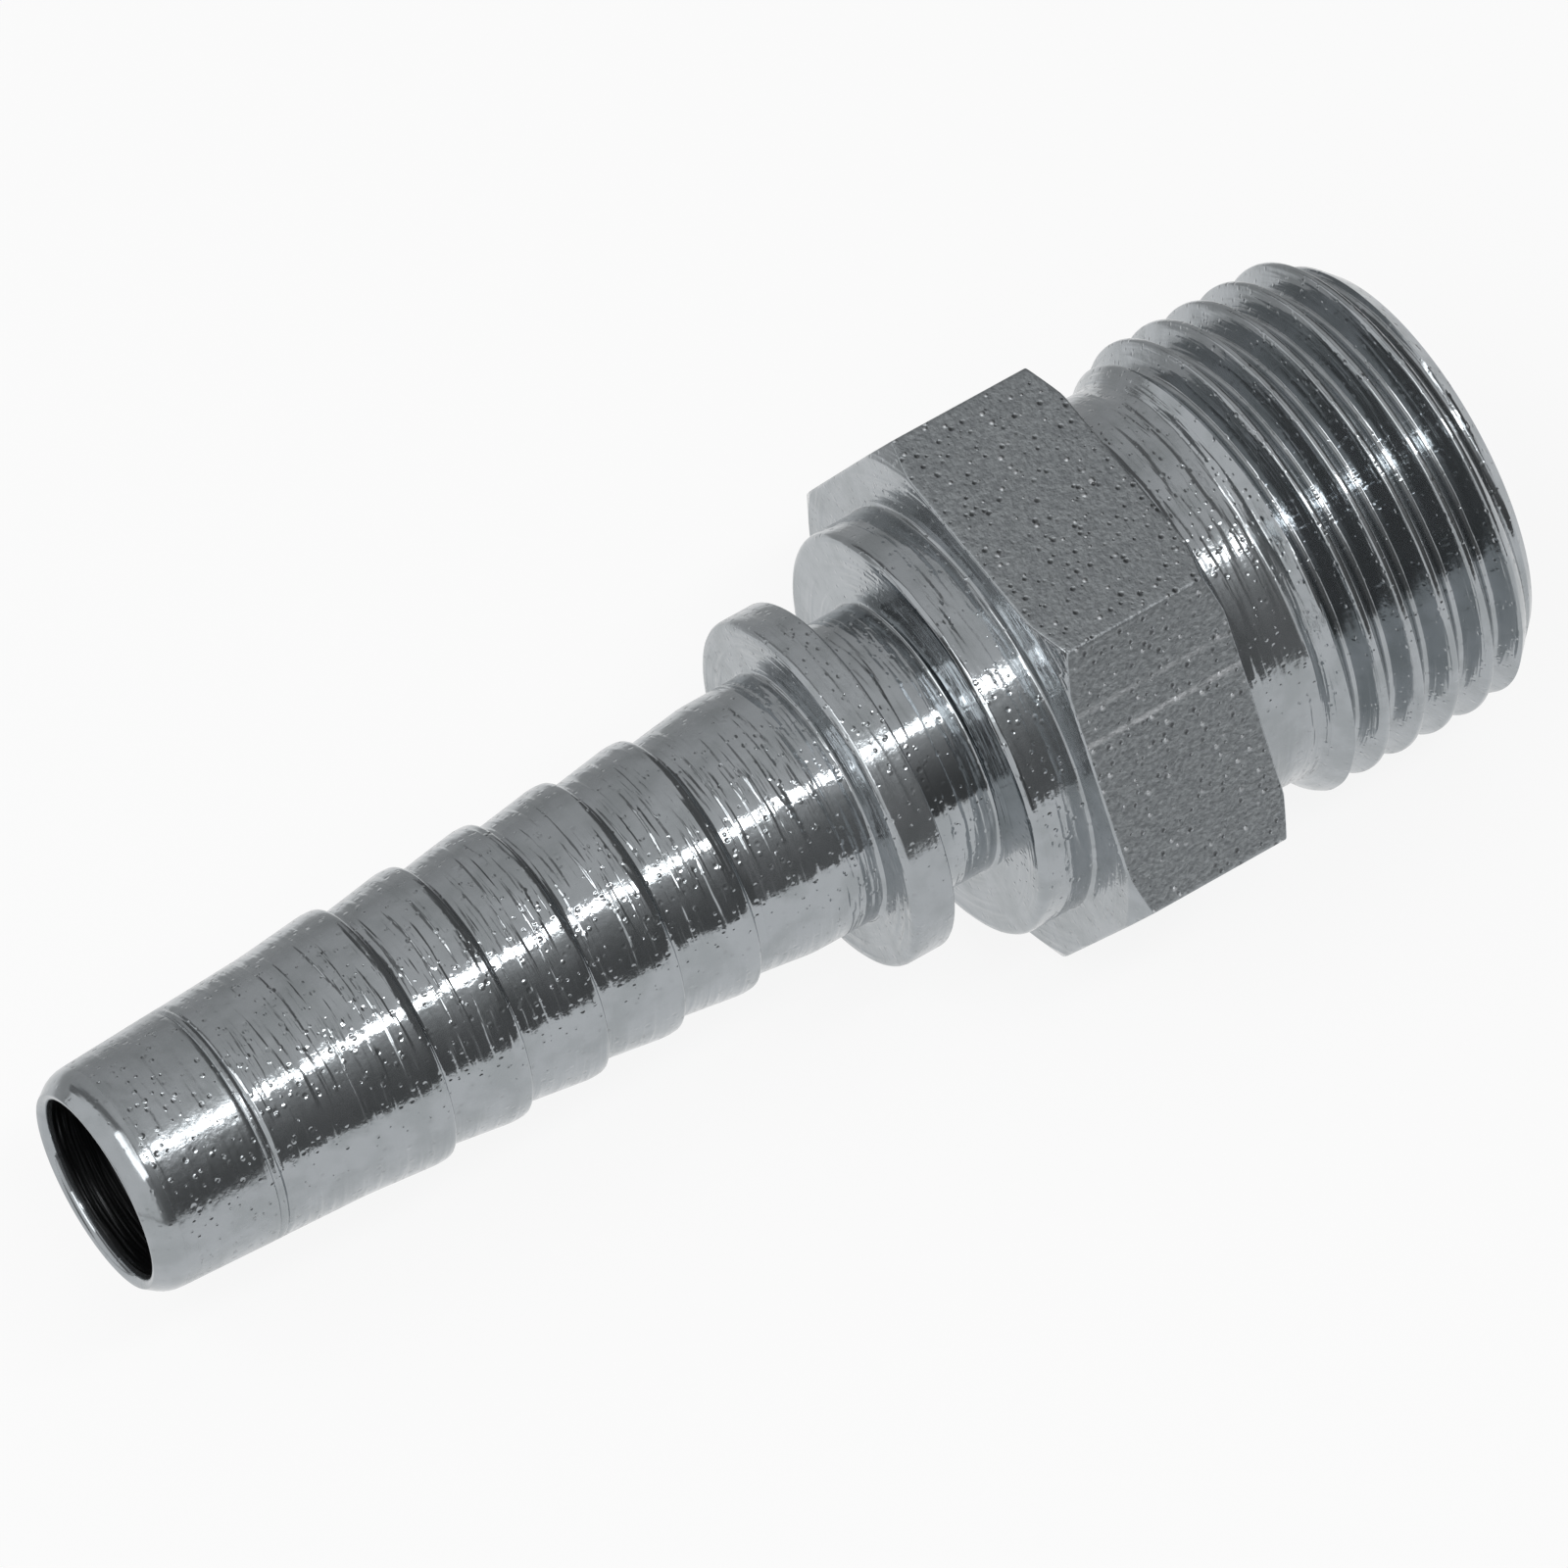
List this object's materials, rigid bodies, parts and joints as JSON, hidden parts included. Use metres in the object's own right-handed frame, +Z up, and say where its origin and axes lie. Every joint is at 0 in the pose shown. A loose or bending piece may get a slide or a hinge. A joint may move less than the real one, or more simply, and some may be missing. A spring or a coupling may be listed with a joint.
{
  "type": "straight male hose fitting",
  "caption": "One-piece turned steel hose fitting: a barbed hose tail, a collar and shoulder for a crimped ferrule, a spanner hexagon and a male thread with a cone mouth.",
  "frame": {"origin": "on the surface that the fitting lies on, under the middle of its length and its axis", "axes": "+X along the axis from the hose tail to the thread, +Z up; one flat of the hexagon lies on Z = 0"},
  "size_m": [0.0558, 0.022, 0.019],
  "materials": {
    "zinc_plated_steel": "clear zinc plating over turned steel, satin with fine turning marks; the flats of the hexagon are matt and pitted as drawn"
  },
  "bodies": {
    "root": {"fitting_body": "zinc_plated_steel"}
  },
  "joints": []
}
